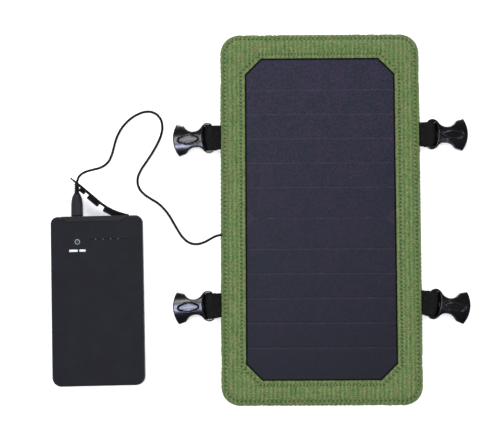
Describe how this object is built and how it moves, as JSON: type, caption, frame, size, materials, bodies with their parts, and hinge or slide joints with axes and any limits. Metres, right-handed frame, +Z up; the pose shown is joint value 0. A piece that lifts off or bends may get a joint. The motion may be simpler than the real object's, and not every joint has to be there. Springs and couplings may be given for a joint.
{
  "type": "solar phone charger",
  "caption": "Flexible solar charging pad with strap buckles, wired to a flat power bank through a micro plug; the bank's rubber port cover stands open.",
  "frame": {"origin": "centre of the pad's back face", "axes": "+Z up out of the pad's solar face, +X along the whole outfit from the power bank to the pad, +Y along the pad towards its cable-free upper end"},
  "size_m": [0.3415, 0.304, 0.0167],
  "materials": {
    "fabric": "olive woven ribbed polyester",
    "foam": "closed-cell foam",
    "laminate": "black fibreglass board",
    "cell": "dark blue-black silicon",
    "tinned_copper": "tinned",
    "film": "satin clear film",
    "black_plastic": "moulded",
    "circuit_board": "green solder mask",
    "component": "moulded ferrite and epoxy",
    "webbing": "black woven webbing",
    "buckle": "glossy moulded acetal",
    "cable": "satin PVC",
    "plug": "soft PVC overmould",
    "steel": "plated",
    "bank_shell": "soft-touch paint",
    "battery": "laminated foil pouch",
    "light_pipe": "clear acrylic",
    "copper": "copper foil",
    "ink": "white print",
    "cover_rubber": "moulded rubber"
  },
  "bodies": {
    "root": {"front_cover": "fabric", "back_cover": "fabric", "foam_pad": "foam", "backing_board": "laminate", "cell_strip_01": "cell", "cell_strip_02": "cell", "cell_strip_03": "cell", "cell_strip_04": "cell", "cell_strip_05": "cell", "cell_strip_06": "cell", "cell_strip_07": "cell", "cell_strip_08": "cell", "cell_strip_09": "cell", "cell_strip_10": "cell", "cell_strip_11": "cell", "cell_strip_12": "cell", "cell_ribbons": "tinned_copper", "panel_leads": "tinned_copper", "battery_leads": "tinned_copper", "front_film": "film", "regulator_case": "black_plastic", "regulator_lid": "black_plastic", "port_bezel": "black_plastic", "usb_a_tongue_1": "black_plastic", "usb_a_tongue_2": "black_plastic", "regulator_board": "circuit_board", "bank_board": "circuit_board", "regulator_coil": "component", "charge_chip": "component", "boost_inductor": "component", "webbing_anchors": "webbing", "cable_tail": "cable", "solar_cable": "cable", "plug_body": "plug", "strain_relief": "plug", "cable_grommet": "plug", "plug_shell": "steel", "usb_a_port_1": "steel", "usb_a_port_2": "steel", "micro_usb_port": "steel", "board_screws": "steel", "touch_spring": "steel", "bank_top_shell": "bank_shell", "bank_back_shell": "bank_shell", "bank_battery": "battery", "status_leds": "light_pipe", "light_pipes": "light_pipe", "touch_plate": "copper", "touch_mark": "ink", "cover_anchor": "cover_rubber"},
    "cover": {"port_cover": "cover_rubber"},
    "tab_upper_left": {"webbing_tab_upper_left": "webbing"},
    "strap_buckle_upper_left": {"buckle_upper_left": "buckle"},
    "tab_lower_left": {"webbing_tab_lower_left": "webbing"},
    "strap_buckle_lower_left": {"buckle_lower_left": "buckle"},
    "tab_upper_right": {"webbing_tab_upper_right": "webbing"},
    "strap_buckle_upper_right": {"buckle_upper_right": "buckle"},
    "tab_lower_right": {"webbing_tab_lower_right": "webbing"},
    "strap_buckle_lower_right": {"buckle_lower_right": "buckle"}
  },
  "joints": [
    {"name": "cover_swing", "type": "hinge", "parent": "root", "child": "cover", "pos_m": [-0.15782, 0.00353, 0.0055], "axis": [0, 0, -1], "range_deg": [0, 110]},
    {"name": "fold_upper_left", "type": "hinge", "parent": "root", "child": "tab_upper_left", "pos_m": [-0.08459, 0.06723, 0.0029], "axis": [-0.0872, 0.9962, 0], "range_deg": [0, 60]},
    {"name": "buckle_turn_upper_left", "type": "hinge", "parent": "tab_upper_left", "child": "strap_buckle_upper_left", "pos_m": [-0.09037, 0.06672, 0.0044], "axis": [-0.0872, 0.9962, 0], "range_deg": [0, 70]},
    {"name": "fold_lower_left", "type": "hinge", "parent": "root", "child": "tab_lower_left", "pos_m": [-0.08459, -0.07072, 0.0029], "axis": [-0.0698, 0.9976, 0], "range_deg": [0, 60]},
    {"name": "buckle_turn_lower_left", "type": "hinge", "parent": "tab_lower_left", "child": "strap_buckle_lower_left", "pos_m": [-0.09038, -0.07112, 0.0044], "axis": [-0.0698, 0.9976, 0], "range_deg": [0, 70]},
    {"name": "fold_upper_right", "type": "hinge", "parent": "root", "child": "tab_upper_right", "pos_m": [0.0846, 0.06889, 0.0029], "axis": [-0.0349, -0.9994, 0], "range_deg": [0, 60]},
    {"name": "buckle_turn_upper_right", "type": "hinge", "parent": "tab_upper_right", "child": "strap_buckle_upper_right", "pos_m": [0.0904, 0.06869, 0.0044], "axis": [-0.0349, -0.9994, 0], "range_deg": [0, 70]},
    {"name": "fold_lower_right", "type": "hinge", "parent": "root", "child": "tab_lower_right", "pos_m": [0.08457, -0.06943, 0.0029], "axis": [-0.1392, -0.9903, 0], "range_deg": [0, 60]},
    {"name": "buckle_turn_lower_right", "type": "hinge", "parent": "tab_lower_right", "child": "strap_buckle_lower_right", "pos_m": [0.09031, -0.07024, 0.0044], "axis": [-0.1392, -0.9903, 0], "range_deg": [0, 70]}
  ]
}
